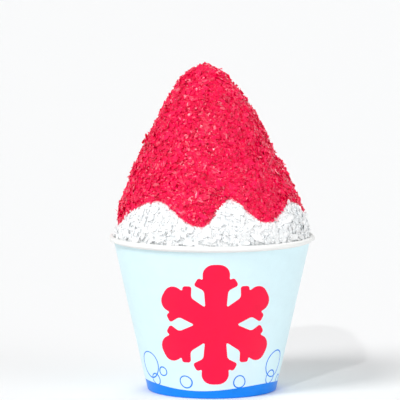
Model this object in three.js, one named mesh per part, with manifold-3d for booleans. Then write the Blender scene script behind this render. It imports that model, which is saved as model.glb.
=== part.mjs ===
// A kakigori: shaved ice heaped high in a paper cup, its top soaked with red syrup down to a wavy edge.
// Millimetres, +Z up. The origin is the middle of the foot ring's rest plane, and the cup's printed front faces -Y.
import * as THREE from "three";
import { mergeVertices } from "three/addons/utils/BufferGeometryUtils.js";
import Module from "manifold-3d";

const wasm = await Module();
wasm.setup();

// Paper cup
const CUP_HEIGHT = 77;
const RIM_RADIUS = 51; // outside of the rolled rim
const FOOT_RADIUS = 32; // outside of the foot ring
const PAPER = 0.5;
const CURL_RADIUS = 1.3; // of the rolled rim's section
const CURL_SWEEP = THREE.MathUtils.degToRad(290);
const CURL_STEPS = 10;
const HEM_HEIGHT = 6; // the foot's folded hem, and so the depth of the recess under the base
const HEM_THICKNESS = 3 * PAPER; // wall, skirt of the base, and the wall's paper folded back up
const FOLD_CHAMFER = 0.25;
const LAP_WIDTH = 7; // overlap of the blank's two edges, up the back
const LAP_THIN_EDGE = 0.12;
const LAP_BOTTOM = 0.6;
const LAP_BURIED = 0.25; // how far the lap reaches into the wall it is glued to
const LAP_STEPS = 4;

// Ice
const HEAP_TOP = 162;
const HEAP_RADIUS = RIM_RADIUS - 2 * CURL_RADIUS; // the heap leaves the cup at the rolled rim's inner face
const HEAP_TAPER = 0.556; // power that rounds the tip of the heap
const SHOULDER_FULLNESS = 0.05; // how much the heap's lower half swells past the plain taper
const TIP_LEAN = -3.6; // the tip stands this far to the left of the cup's axis
const LUMP_HEIGHT = 0.8;
const LUMP_WAVES = [
  { around: 3, up: 0.11, phase: 0.4, share: 0.4 },
  { around: 5, up: -0.19, phase: 1.3, share: 0.3 },
  { around: 8, up: 0.31, phase: 4.1, share: 0.2 },
  { around: 11, up: -0.37, phase: 2.2, share: 0.1 },
];
const LUMP_FADE = 7; // lumps grow from nothing over this height above the rim, and this radius at the tip
const SOAK_MIDDLE = 96; // height that the syrup soaks down to on the axis
// The syrup's edge swings between these turning points round the heap: [degrees from the front, height].
const SYRUP_EDGE = [
  [-90, 82],
  [-37, 97],
  [-7, 85.6],
  [12, 98.5],
  [36, 87],
  [64, 95.5],
  [88, 88.5],
  [114, 97],
  [143, 85],
  [168, 97.5],
  [194, 86.5],
  [221, 98],
];

// Meshing
const SIDES = 72; // of every round piece, so that neighbours' facets lie parallel
const CLEARANCE = 0.3; // between the syrup-soaked ice and the plain ice
const SNUG = 0.12; // between the cup's own pieces and what fills it
const SHOULDER_RINGS = 5;
const SOAKED_RINGS = 13;
const MEETING_RINGS = 4; // on the surface where plain and soaked ice meet

const WALL_SLOPE =
  (RIM_RADIUS - 2 * CURL_RADIUS + PAPER - FOOT_RADIUS) / (CUP_HEIGHT - CURL_RADIUS);
const BASE_BOTTOM = HEM_HEIGHT + SNUG;
const BASE_TOP = BASE_BOTTOM + PAPER;
const RIM_LEVEL = CUP_HEIGHT - CURL_RADIUS; // middle of the rolled rim, where the heap starts

const wallOutside = (z) => FOOT_RADIUS + WALL_SLOPE * z;
const wallInside = (z) => wallOutside(z) - PAPER;

// A point at this angle from the front, turning towards +X, at this radius and height.
function around(angle, radius, z, shiftX = 0) {
  return new THREE.Vector3(radius * Math.sin(angle) + shiftX, -radius * Math.cos(angle), z);
}

// ---- Paper cup ----

// The wall's closed section: up the outside, round the rolled rim, down the inside and round the folded hem.
function wallProfile() {
  const curlMiddle = new THREE.Vector2(RIM_RADIUS - CURL_RADIUS, RIM_LEVEL);
  const curlPoint = (radius, turn) =>
    new THREE.Vector2(
      curlMiddle.x + radius * Math.cos(Math.PI - turn),
      curlMiddle.y + radius * Math.sin(Math.PI - turn),
    );
  const hemInside = (z) => wallOutside(z) - HEM_THICKNESS;
  const profile = [
    new THREE.Vector2(hemInside(0) + FOLD_CHAMFER, 0),
    new THREE.Vector2(wallOutside(0) - FOLD_CHAMFER, 0),
    new THREE.Vector2(wallOutside(FOLD_CHAMFER), FOLD_CHAMFER),
  ];
  for (let i = 0; i <= CURL_STEPS; i++)
    profile.push(curlPoint(CURL_RADIUS - PAPER, (CURL_SWEEP * i) / CURL_STEPS));
  for (let i = CURL_STEPS; i >= 0; i--)
    profile.push(curlPoint(CURL_RADIUS, (CURL_SWEEP * i) / CURL_STEPS));
  profile.push(
    new THREE.Vector2(wallInside(HEM_HEIGHT), HEM_HEIGHT),
    new THREE.Vector2(hemInside(HEM_HEIGHT), HEM_HEIGHT),
    new THREE.Vector2(hemInside(FOLD_CHAMFER), FOLD_CHAMFER),
  );
  return [...profile, profile[0].clone()];
}

// A turned piece, with the lathe's own axis stood up along +Z.
function turned(profile) {
  return new THREE.LatheGeometry(profile, SIDES).rotateX(Math.PI / 2);
}

// The outer layer of the blank's glued overlap: thin at one edge and a full sheet thick at the other.
function lapGeometry() {
  const section = (z) => {
    const turn = (share) => Math.PI + ((share - 0.5) * LAP_WIDTH) / wallOutside(z);
    const points = [];
    for (let i = LAP_STEPS; i >= 0; i--)
      points.push(around(turn(i / LAP_STEPS), wallOutside(z) - LAP_BURIED, z));
    for (let i = 0; i <= LAP_STEPS; i++) {
      const share = i / LAP_STEPS;
      const lift = THREE.MathUtils.lerp(LAP_THIN_EDGE, PAPER, share);
      points.push(around(turn(share), wallOutside(z) + lift, z));
    }
    return points;
  };
  const lapTop = RIM_LEVEL - 1.2 * CURL_RADIUS;
  const rings = [section(LAP_BOTTOM), section(lapTop)];
  const middle = (ring) =>
    ring.reduce((sum, p) => sum.add(p), new THREE.Vector3()).divideScalar(ring.length);
  return ringed(middle(rings[0]), rings, middle(rings[1]));
}

// ---- Ice ----

// Radius of the smooth heap at a height.
function heapRadius(z) {
  const t = THREE.MathUtils.clamp((z - RIM_LEVEL) / (HEAP_TOP - RIM_LEVEL), 0, 1);
  const fullness = 1 + SHOULDER_FULLNESS * Math.sin(Math.PI * Math.min(2 * t, 1));
  return HEAP_RADIUS * Math.pow(1 - t, HEAP_TAPER) * fullness;
}

function leanAt(z) {
  return TIP_LEAN * Math.max(0, (z - RIM_LEVEL) / (HEAP_TOP - RIM_LEVEL));
}

function lumps(angle, z, radius) {
  const waves = LUMP_WAVES.reduce(
    (sum, w) => sum + w.share * Math.sin(w.around * angle + w.up * z + w.phase),
    0,
  );
  const fade =
    THREE.MathUtils.smoothstep(z - RIM_LEVEL, 0, LUMP_FADE) *
    THREE.MathUtils.smoothstep(radius, 0, LUMP_FADE);
  return LUMP_HEIGHT * waves * fade;
}

// A point of the heap's uneven outside.
function heapPoint(angle, z) {
  const radius = Math.min(heapRadius(z), HEAP_RADIUS);
  return around(angle, radius + lumps(angle, z, radius), z, leanAt(z));
}

// Height of the syrup's edge at an angle: smooth swings from one turning point to the next.
function syrupEdge(angle) {
  const first = SYRUP_EDGE[0];
  const laps = [...SYRUP_EDGE, [first[0] + 360, first[1]]];
  const degrees = first[0] + ((((angle * 180) / Math.PI - first[0]) % 360) + 360) % 360;
  const next = laps.findIndex(([at], i) => i > 0 && degrees <= at);
  const [fromAt, fromZ] = laps[next - 1];
  const [toAt, toZ] = laps[next];
  const swing = (1 - Math.cos((Math.PI * (degrees - fromAt)) / (toAt - fromAt))) / 2;
  return THREE.MathUtils.lerp(fromZ, toZ, swing);
}

// A closed geometry from rings of points, all turning the same way, between a point below and a point above.
// Each quad is split along its shorter diagonal, so two surfaces with the same points bend the same way.
function ringed(below, rings, above) {
  const sides = rings[0].length;
  const points = [below, ...rings.flat(), above];
  const at = (ring, side) => 1 + ring * sides + (side % sides);
  const span = (i, j) => points[i].distanceTo(points[j]);
  const last = points.length - 1;
  const index = [];
  for (let s = 0; s < sides; s++) {
    index.push(0, at(0, s + 1), at(0, s));
    for (let r = 0; r + 1 < rings.length; r++) {
      const [a, b, c, d] = [at(r, s), at(r, s + 1), at(r + 1, s + 1), at(r + 1, s)];
      if (span(a, c) < span(b, d)) index.push(a, b, c, a, c, d);
      else index.push(a, b, d, b, c, d);
    }
    index.push(last, at(rings.length - 1, s), at(rings.length - 1, s + 1));
  }
  return new THREE.BufferGeometry().setFromPoints(points).setIndex(index);
}

function ring(pointAt) {
  return Array.from({ length: SIDES }, (_, i) => pointAt((2 * Math.PI * i) / SIDES));
}

// Rings of the surface where plain and soaked ice meet, from near the axis out to the syrup's edge.
function meetingRings(lift) {
  const rings = [];
  for (let i = 1; i <= MEETING_RINGS; i++) {
    const share = i / MEETING_RINGS;
    rings.push(
      ring((angle) => {
        const edge = heapPoint(angle, syrupEdge(angle));
        const z = THREE.MathUtils.lerp(SOAK_MIDDLE, edge.z, share * share);
        return new THREE.Vector3(edge.x * share, edge.y * share, z + lift);
      }),
    );
  }
  return rings;
}

function plainIceGeometry() {
  const lift = -CLEARANCE / 2;
  const inCup = (z) => ring((angle) => around(angle, wallInside(z) - SNUG, z));
  const rings = [inCup(BASE_TOP + SNUG), inCup(RIM_LEVEL)];
  for (let i = 1; i < SHOULDER_RINGS; i++) {
    const share = i / SHOULDER_RINGS;
    const heightAt = (angle) =>
      THREE.MathUtils.lerp(RIM_LEVEL, syrupEdge(angle) + lift, share);
    rings.push(ring((angle) => heapPoint(angle, heightAt(angle))));
  }
  rings.push(...meetingRings(lift).reverse());
  const bottom = new THREE.Vector3(0, 0, BASE_TOP + SNUG);
  return ringed(bottom, rings, new THREE.Vector3(0, 0, SOAK_MIDDLE + lift));
}

function soakedIceGeometry() {
  const lift = CLEARANCE / 2;
  const rings = meetingRings(lift);
  for (let i = 1; i < SOAKED_RINGS; i++) {
    const share = 1 - Math.pow(1 - i / SOAKED_RINGS, 1.5); // rings crowd towards the rounded tip
    const heightAt = (angle) =>
      THREE.MathUtils.lerp(syrupEdge(angle) + lift, HEAP_TOP, share);
    rings.push(ring((angle) => heapPoint(angle, heightAt(angle))));
  }
  const bottom = new THREE.Vector3(0, 0, SOAK_MIDDLE + lift);
  return ringed(bottom, rings, new THREE.Vector3(leanAt(HEAP_TOP), 0, HEAP_TOP));
}

// ---- Joining ----

// A manifold solid from a closed geometry.
function solidOf(geometry) {
  const bare = geometry.clone();
  bare.deleteAttribute("normal");
  bare.deleteAttribute("uv");
  const merged = mergeVertices(bare, 1e-4);
  return new wasm.Manifold(
    new wasm.Mesh({
      numProp: 3,
      vertProperties: merged.attributes.position.array,
      triVerts: new Uint32Array(merged.index.array),
    }),
  );
}

function geometryOf(solid) {
  const mesh = solid.getMesh();
  return new THREE.BufferGeometry()
    .setAttribute("position", new THREE.BufferAttribute(mesh.vertProperties, 3))
    .setIndex(new THREE.BufferAttribute(mesh.triVerts, 1));
}

function cupWallGeometry() {
  return geometryOf(solidOf(turned(wallProfile())).add(solidOf(lapGeometry())));
}

function cupBaseGeometry() {
  const profile = [
    new THREE.Vector2(0, BASE_BOTTOM),
    new THREE.Vector2(wallInside(BASE_BOTTOM) - SNUG, BASE_BOTTOM),
    new THREE.Vector2(wallInside(BASE_TOP) - SNUG, BASE_TOP),
    new THREE.Vector2(0, BASE_TOP),
  ];
  return turned(profile);
}

// ---- Materials and assembly ----

const printedPaper = new THREE.MeshStandardMaterial({ color: 0xe2faff, roughness: 0.45 });
const whitePaper = new THREE.MeshStandardMaterial({ color: 0xf6f6f2, roughness: 0.6 });
const plainIce = new THREE.MeshStandardMaterial({ color: 0xf4fafd, roughness: 0.35 });
const soakedIce = new THREE.MeshStandardMaterial({ color: 0xff1b4c, roughness: 0.25 });

function piece(name, geometry, material) {
  const mesh = new THREE.Mesh(geometry, material);
  mesh.name = name;
  return mesh;
}

const kakigori = new THREE.Group();
kakigori.add(
  piece("cup_wall", cupWallGeometry(), printedPaper),
  piece("cup_base", cupBaseGeometry(), whitePaper),
  piece("plain_ice", plainIceGeometry(), plainIce),
  piece("syrup_ice", soakedIceGeometry(), soakedIce),
);

export default kakigori;
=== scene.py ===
"""Looks of a kakigori: shaved ice heaped high in a printed paper cup, its top soaked with crimson syrup.

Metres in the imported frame: +Z up, the cup's axis on Z, and its printed front faces -Y. Angles round the
cup are counted from the front, turning towards +X.
"""
import logging
import math
from collections.abc import Callable, Iterable, Sequence
from dataclasses import dataclass
from enum import Enum
from functools import cached_property

import bmesh
import bpy
import numpy as np
from bmesh.types import BMEdge, BMesh, BMVert
from mathutils import Matrix, Vector, noise


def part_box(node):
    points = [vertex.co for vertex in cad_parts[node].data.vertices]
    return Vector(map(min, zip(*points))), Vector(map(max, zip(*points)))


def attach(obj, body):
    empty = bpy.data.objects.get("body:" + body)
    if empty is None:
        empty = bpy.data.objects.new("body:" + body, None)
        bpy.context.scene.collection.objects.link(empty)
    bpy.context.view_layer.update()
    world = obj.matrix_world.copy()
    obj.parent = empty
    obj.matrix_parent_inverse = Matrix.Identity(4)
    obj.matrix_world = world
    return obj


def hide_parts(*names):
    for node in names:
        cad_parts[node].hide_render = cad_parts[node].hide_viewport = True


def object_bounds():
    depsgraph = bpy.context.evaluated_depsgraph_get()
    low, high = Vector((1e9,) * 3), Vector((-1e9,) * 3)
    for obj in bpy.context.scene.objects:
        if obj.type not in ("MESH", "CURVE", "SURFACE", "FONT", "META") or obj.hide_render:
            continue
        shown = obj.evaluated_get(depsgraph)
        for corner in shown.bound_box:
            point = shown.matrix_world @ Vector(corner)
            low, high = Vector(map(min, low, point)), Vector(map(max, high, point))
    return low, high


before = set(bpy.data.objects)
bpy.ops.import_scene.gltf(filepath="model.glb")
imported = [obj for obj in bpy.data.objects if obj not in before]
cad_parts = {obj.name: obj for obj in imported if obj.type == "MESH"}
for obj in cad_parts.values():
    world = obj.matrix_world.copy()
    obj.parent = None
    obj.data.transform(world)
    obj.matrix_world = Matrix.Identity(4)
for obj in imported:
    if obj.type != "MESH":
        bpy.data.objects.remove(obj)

MM = 0.001
CAD_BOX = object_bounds()
ROOT_BODY = "root"
SOAK = "soak"
SHADE = "shade"
CREASE = math.radians(50)
TOUCHING = 1e-7

Socket = bpy.types.NodeSocket
Sockets = dict[str, Socket]
Piece = bpy.types.Object
Layer = bmesh.types.BMLayerItem
Array = np.ndarray
Colour = tuple[float, float, float, float]

logging.basicConfig(level=logging.INFO, format="%(levelname)s %(message)s")
log = logging.getLogger("kakigori")


# ---- Colours and shared shader groups ----


def linear(red: int, green: int, blue: int) -> Colour:
    """The linear colour of an 8-bit display colour.

    Args:
        red, green, blue: Display values from 0 to 255.

    Returns:
        Linear red, green, blue and an alpha of 1.
    """

    def one(value: float) -> float:
        """One channel from display to linear."""
        return value / 12.92 if value <= 0.04045 else ((value + 0.055) / 1.055) ** 2.4

    return (one(red / 255), one(green / 255), one(blue / 255), 1.0)


class Wiring:
    """A node tree with short words for adding nodes and joining them."""

    def __init__(self, tree: bpy.types.NodeTree) -> None:
        """Takes the tree to wire."""
        self.tree = tree

    def node(self, kind: str, **settings: object) -> bpy.types.Node:
        """Adds a node of a kind such as "ShaderNodeMath" and sets its properties.

        Args:
            kind: The node's kind, such as "ShaderNodeMath".
            **settings: Its properties by name.

        Returns:
            The node.
        """
        made = self.tree.nodes.new(kind)
        for name, value in settings.items():
            setattr(made, name, value)
        return made

    def feed(self, node: bpy.types.Node, **inputs: object) -> bpy.types.Node:
        """Sets or joins a node's inputs.

        Args:
            node: The node to feed.
            **inputs: A value or an output socket for each input, named with _ for a space, or by in and
                its number.

        Returns:
            The same node.
        """
        for name, value in inputs.items():
            numbered = name.startswith("in") and name[2:].isdigit()
            socket = node.inputs[int(name[2:])] if numbered else node.inputs[name.replace("_", " ")]
            if isinstance(value, Socket):
                self.tree.links.new(value, socket)
            else:
                socket.default_value = value
        return node

    def maths(self, operation: str, *values: object, clamp: bool = False) -> Socket:
        """The result of a Math node on one, two or three values or sockets.

        Args:
            operation: The operation's name, such as "ADD".
            *values: What it works on.
            clamp: Whether the result is held between 0 and 1.

        Returns:
            The result's socket.
        """
        node = self.node("ShaderNodeMath", operation=operation, use_clamp=clamp)
        self.feed(node, **{f"in{i}": value for i, value in enumerate(values)})
        return node.outputs[0]

    def noise(self, place: Socket, size: float, detail: float = 2.0) -> Socket:
        """A noise from 0 to 1 whose features are about this size in metres."""
        node = self.feed(self.node("ShaderNodeTexNoise"), Vector=place, Scale=1 / size, Detail=detail)
        return node.outputs["Fac"]

    def ramp(
        self, value: Socket, low: float, high: float, to_low: float = 0.0, to_high: float = 1.0
    ) -> Socket:
        """A value taken from one range to another, held at its ends.

        Args:
            value: The value.
            low, high: The range that it comes from.
            to_low, to_high: The range that it goes to.

        Returns:
            The result's socket.
        """
        node = self.node("ShaderNodeMapRange", clamp=True)
        self.feed(node, in0=value, in1=low, in2=high, in3=to_low, in4=to_high)
        return node.outputs[0]

    def blend(self, one: object, other: object, share: float) -> Socket:
        """Two values blended, the second one's share given."""
        kept = self.maths("MULTIPLY", one, 1 - share)
        return self.maths("ADD", kept, self.maths("MULTIPLY", other, share))

    def mix(self, share: object, one: object, other: object) -> Socket:
        """Two colours mixed by a share from 0 to 1.

        Args:
            share: The share of the second colour.
            one, other: The two colours.

        Returns:
            The mixed colour's socket.
        """
        node = self.node("ShaderNodeMix", data_type="RGBA")
        self.feed(node, in0=share, in6=one, in7=other)
        return node.outputs[2]


class SharedGroup:
    """A shader node group that is built once and placed in each material that uses it."""

    name = "shared"
    takes: tuple[tuple[str, object], ...] = ()
    gives = (("Colour", "NodeSocketColor"), ("Roughness", "NodeSocketFloat"), ("Height", "NodeSocketFloat"))

    def wire(self, wiring: Wiring, taken: Sockets) -> Sockets:
        """Wires the inside of the group.

        Args:
            wiring: The group's own tree.
            taken: The group's inputs by name.

        Returns:
            The sockets that leave the group, by output name.
        """
        raise NotImplementedError

    def tree(self) -> bpy.types.NodeTree:
        """The group's tree, built the first time that it is asked for.

        Returns:
            The group's tree.
        """
        if self.name in bpy.data.node_groups:
            return bpy.data.node_groups[self.name]
        tree = bpy.data.node_groups.new(self.name, "ShaderNodeTree")
        for title, default in self.takes:
            kind = "NodeSocketColor" if isinstance(default, tuple) else "NodeSocketFloat"
            socket = tree.interface.new_socket(title, in_out="INPUT", socket_type=kind)
            socket.default_value = default
        for title, kind in self.gives:
            tree.interface.new_socket(title, in_out="OUTPUT", socket_type=kind)
        wiring = Wiring(tree)
        inside = wiring.node("NodeGroupInput")
        made = self.wire(wiring, {title: inside.outputs[title] for title, _ in self.takes})
        outside = wiring.node("NodeGroupOutput")
        for title, socket in made.items():
            tree.links.new(socket, outside.inputs[title])
        return tree

    def place(self, wiring: Wiring, **inputs: object) -> bpy.types.Node:
        """Adds the group to a material's tree and feeds its inputs."""
        node = wiring.node("ShaderNodeGroup", node_tree=self.tree())
        return wiring.feed(node, **inputs)


class PaperFibre(SharedGroup):
    """Faint clouding and tooth of coated paper, with the speckle of ink that sits unevenly on it."""

    name = "paper_fibre"
    takes = (("Colour", (0.8, 0.8, 0.8, 1.0)), ("Clouding", 0.03), ("Roughness", 0.4))
    cloud_size = 6 * MM
    cloud_range = (0.35, 0.65)
    fibre_size = 0.5 * MM
    fibre_stretch = (1.0, 1.0, 0.35)
    fibre_share = 0.4
    fibre_range = (0.3, 0.7)
    fibre_roughness = (-0.05, 0.07)

    def wire(self, wiring: Wiring, taken: Sockets) -> Sockets:
        """Wires clouds into the colour and fibres into the roughness and height.

        Args:
            wiring: The group's own tree.
            taken: The group's inputs by name.

        Returns:
            The sockets that leave the group, by output name.
        """
        place = wiring.node("ShaderNodeTexCoord").outputs["Object"]
        stretched = wiring.node("ShaderNodeMapping")
        wiring.feed(stretched, Vector=place, Scale=self.fibre_stretch)
        clouds = wiring.noise(place, self.cloud_size, 3.0)
        fibres = wiring.noise(stretched.outputs[0], self.fibre_size, 3.0)
        both = wiring.blend(clouds, fibres, self.fibre_share)
        darker = wiring.maths("MULTIPLY", wiring.ramp(both, *self.cloud_range), taken["Clouding"])
        shade = wiring.maths("SUBTRACT", 1.0, darker)
        tinted = wiring.node("ShaderNodeVectorMath", operation="SCALE")
        wiring.feed(tinted, in0=taken["Colour"], Scale=shade)
        rougher = wiring.ramp(fibres, *self.fibre_range, *self.fibre_roughness)
        rough = wiring.maths("ADD", taken["Roughness"], rougher)
        return {"Colour": tinted.outputs[0], "Roughness": rough, "Height": fibres}


class ShavedIce(SharedGroup):
    """Colour, wetness and crumbly grain of shaved ice, from white to soaked through with syrup."""

    name = "shaved_ice"
    takes = (
        ("White", (0.9, 0.9, 0.9, 1.0)),
        ("Clear", (0.8, 0.9, 1.0, 1.0)),
        ("Syrup", (0.8, 0.1, 0.1, 1.0)),
        ("Deep", (0.5, 0.0, 0.0, 1.0)),
        ("Soak", 0.0),
        ("Shade", 0.5),
        ("Roughness", 0.3),
    )
    pool_size = 9 * MM
    pool_range = (0.38, 0.62)
    pool_depth = 0.55
    clump_size = 2.6 * MM
    deep_from = 0.45
    clearest = 0.7
    tide_wander = 0.12
    tide_range = (0.12, 0.88)
    grain_size = 0.7 * MM
    grain_range = (0.3, 0.7)
    grain_roughness = (-0.1, 0.14)

    def wire(self, wiring: Wiring, taken: Sockets) -> Sockets:
        """Wires pools and clumps into the colour, and fine grain into the roughness and height.

        Args:
            wiring: The group's own tree.
            taken: The group's inputs by name.

        Returns:
            The sockets that leave the group, by output name.
        """
        place = wiring.node("ShaderNodeTexCoord").outputs["Object"]
        pools = wiring.noise(place, self.pool_size, 2.0)
        clumps = wiring.noise(place, self.clump_size, 3.0)
        grain = wiring.noise(place, self.grain_size, 3.0)
        uneven = wiring.blend(pools, clumps, 0.5)
        pooled = wiring.ramp(uneven, *self.pool_range, 0.0, self.pool_depth)
        # Shade takes the syrup towards Deep and the white towards Clear: painted shade in the cores'
        # hollows, a random tone on the loose ice.
        depth = wiring.maths("ADD", pooled, taken["Shade"])
        deep = wiring.maths("SUBTRACT", depth, self.deep_from, clamp=True)
        syrup = wiring.mix(deep, taken["Syrup"], taken["Deep"])
        clear = wiring.maths("MULTIPLY", taken["Shade"], self.clearest)
        plain = wiring.mix(clear, taken["White"], taken["Clear"])
        wander = wiring.ramp(clumps, *self.grain_range, -self.tide_wander, self.tide_wander)
        tide = wiring.maths("ADD", taken["Soak"], wander)
        colour = wiring.mix(wiring.ramp(tide, *self.tide_range), plain, syrup)
        rougher = wiring.ramp(grain, *self.grain_range, *self.grain_roughness)
        rough = wiring.maths("ADD", taken["Roughness"], rougher)
        return {"Colour": colour, "Roughness": rough, "Height": grain}


# ---- Finishes ----


CRIMSON = linear(255, 5, 68)
SYRUP = linear(255, 12, 84)
# Deeper syrup: a random tone on the loose ice; on the cores the syrup pooled in the hollows together with
# painted shade there.
DEEP_SYRUP_AND_SHADE = linear(226, 5, 62)
SKY = linear(5, 136, 244)
PALE_SKY = linear(220, 246, 252)
PAPER_WHITE = (0.9, 0.905, 0.89, 1.0)
FLOOR_WHITE = (0.9, 0.905, 0.91, 1.0)
SNOW = (0.985, 0.992, 0.998, 1.0)
# Clearer, bluer ice: a random tone on the loose ice, and painted shade in the plain core's hollows.
CLEAR_ICE_AND_SHADE = (0.93, 0.97, 0.99, 1.0)


@dataclass(frozen=True)
class Finish:
    """How a surface looks."""

    name: str

    def sockets(self, wiring: Wiring) -> dict[str, object]:
        """What goes into the Principled shader.

        Args:
            wiring: The material's tree.

        Returns:
            Values and output sockets, by input name with _ for a space.
        """
        raise NotImplementedError

    def material(self) -> bpy.types.Material:
        """The material, made the first time that it is asked for.

        Returns:
            The material.
        """
        if self.name in bpy.data.materials:
            return bpy.data.materials[self.name]
        material = bpy.data.materials.new(self.name)
        material.use_nodes = True
        material.node_tree.nodes.clear()
        wiring = Wiring(material.node_tree)
        shader = wiring.node("ShaderNodeBsdfPrincipled")
        output = wiring.node("ShaderNodeOutputMaterial")
        material.node_tree.links.new(shader.outputs[0], output.inputs["Surface"])
        wiring.feed(shader, **self.sockets(wiring))
        return material

    def surface(self, wiring: Wiring, group: bpy.types.Node, depth: float) -> dict[str, object]:
        """The colour, roughness and fine relief that a placed group gives.

        Args:
            wiring: The material's tree.
            group: The placed group.
            depth: How deep its relief is.

        Returns:
            The shader's inputs that the group feeds.
        """
        bump = wiring.node("ShaderNodeBump")
        wiring.feed(bump, Height=group.outputs["Height"], Strength=1.0, Distance=depth)
        return {
            "Base_Color": group.outputs["Colour"],
            "Roughness": group.outputs["Roughness"],
            "Normal": bump.outputs[0],
        }


@dataclass(frozen=True)
class PaperFinish(Finish):
    """Poly-coated cup paper, bare or printed with one ink."""

    colour: Colour
    roughness: float = 0.42
    clouding: float = 0.035
    ior: float = 1.5
    shine: float = 0.2
    coat: float = 0.06
    coat_roughness: float = 0.3
    tooth: float = 0.012 * MM

    def sockets(self, wiring: Wiring) -> dict[str, object]:
        """Ink on fibrous paper under a thin coat.

        Args:
            wiring: The material's tree.

        Returns:
            Values and output sockets, by input name with _ for a space.
        """
        group = PaperFibre().place(
            wiring, Colour=self.colour, Clouding=self.clouding, Roughness=self.roughness
        )
        return self.surface(wiring, group, self.tooth) | {
            "IOR": self.ior,
            "Specular_IOR_Level": self.shine,
            "Coat_Weight": self.coat,
            "Coat_Roughness": self.coat_roughness,
        }


@dataclass(frozen=True)
class IceFinish(Finish):
    """Shaved ice, plain or soaked; the pieces' own soak and shade attributes say how far."""

    roughness: float
    glow_reach: tuple[float, float, float]
    coat: float
    glow: float = 0.12
    ior: float = 1.31
    coat_ior: float = 1.33
    coat_roughness: float = 0.14
    grain: float = 0.08 * MM

    def sockets(self, wiring: Wiring) -> dict[str, object]:
        """Grainy ice, wet on the outside, that lets a little light through.

        Args:
            wiring: The material's tree.

        Returns:
            Values and output sockets, by input name with _ for a space.
        """
        soak = wiring.node("ShaderNodeAttribute", attribute_name=SOAK).outputs["Fac"]
        shade = wiring.node("ShaderNodeAttribute", attribute_name=SHADE).outputs["Fac"]
        group = ShavedIce().place(
            wiring,
            White=SNOW,
            Clear=CLEAR_ICE_AND_SHADE,
            Syrup=SYRUP,
            Deep=DEEP_SYRUP_AND_SHADE,
            Soak=soak,
            Shade=shade,
            Roughness=self.roughness,
        )
        return self.surface(wiring, group, self.grain) | {
            "IOR": self.ior,
            "Subsurface_Weight": self.glow,
            "Subsurface_Radius": self.glow_reach,
            "Subsurface_Scale": 1.0,
            "Coat_Weight": self.coat,
            "Coat_Roughness": self.coat_roughness,
            "Coat_IOR": self.coat_ior,
        }


@dataclass(frozen=True)
class FloorFinish(Finish):
    """The plain pale studio floor."""

    name: str = "studio_floor"

    def sockets(self, wiring: Wiring) -> dict[str, object]:
        """A matt, even white."""
        return {"Base_Color": FLOOR_WHITE, "Roughness": 0.9, "Specular_IOR_Level": 0.1}


PRINTED_FIELD = PaperFinish("printed_field", PALE_SKY)
SKY_INK = PaperFinish("sky_ink", SKY, roughness=0.36, clouding=0.09)
CRIMSON_INK = PaperFinish("crimson_ink", CRIMSON, roughness=0.36, clouding=0.09)
BARE_PAPER = PaperFinish("bare_paper", PAPER_WHITE, roughness=0.5)
PLAIN_ICE = IceFinish(
    "plain_shaved_ice", roughness=0.26, glow_reach=(1.6 * MM, 1.9 * MM, 2.2 * MM), coat=0.35
)
SOAKED_ICE = IceFinish(
    "soaked_shaved_ice", roughness=0.2, glow_reach=(2.6 * MM, 0.5 * MM, 0.8 * MM), coat=0.42
)


# ---- Making pieces ----


def around(angle: float, radius: float, height: float) -> Vector:
    """The point at an angle from the front, a radius and a height."""
    return Vector((radius * math.sin(angle), -radius * math.cos(angle), height))


def angle_of(place: Vector) -> float:
    """The angle from the front of a point, from minus pi to pi."""
    return math.atan2(place.x, -place.y)


class Part(Enum):
    """What a piece belongs to: the CAD node that it stands for, and the record's material slot."""

    WALL = ("cup_wall", "printed_paper")
    BASE = ("cup_base", "white_paper")
    SOAKED = ("syrup_ice", "syrup_ice")
    PLAIN = ("plain_ice", "plain_ice")


def finished(
    name: str, shape: BMesh, finishes: Sequence[Finish], part: Part, crease: float = CREASE
) -> Piece:
    """Turns a closed bmesh, already in place, into a finished piece, and frees it.

    Args:
        name: The piece's name.
        shape: The bmesh.
        finishes: The finish of each material index.
        part: What the piece belongs to.
        crease: Faces that meet at more than this angle meet in a sharp edge.

    Returns:
        The new object.
    """
    bmesh.ops.remove_doubles(shape, verts=shape.verts, dist=TOUCHING)
    bmesh.ops.recalc_face_normals(shape, faces=shape.faces)
    for face in shape.faces:
        face.smooth = True
    for edge in shape.edges:
        edge.smooth = edge.calc_face_angle(0.0) < crease
    mesh = bpy.data.meshes.new(name)
    shape.to_mesh(mesh)
    shape.free()
    return dressed(name, mesh, finishes, part)


def dressed(name: str, mesh: bpy.types.Mesh, finishes: Sequence[Finish], part: Part) -> Piece:
    """Puts a mesh in the scene with its finishes and its body, and hides the CAD node that it stands for.

    Args:
        name: The piece's name.
        mesh: Its mesh, in place.
        finishes: The finish of each material index.
        part: What the piece belongs to.

    Returns:
        The new object.
    """
    node, slot = part.value
    for finish in finishes:
        mesh.materials.append(finish.material())
    piece = bpy.data.objects.new(name, mesh)
    bpy.context.collection.objects.link(piece)
    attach(piece, ROOT_BODY)
    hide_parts(node)
    log.info("%s: %d faces", name, len(mesh.polygons))
    return piece


# ---- Paper cup ----


class Ring(Enum):
    """What the paper shows between one ring of the cup's wall and the next, by material index."""

    FIELD_INK = 0
    WAVE_INK = 1
    BARE = 2


@dataclass(frozen=True)
class Bubble:
    """One printed bubble: its middle in degrees from the front and millimetres up, and its radius."""

    degrees: float
    height: float
    radius: float


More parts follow.
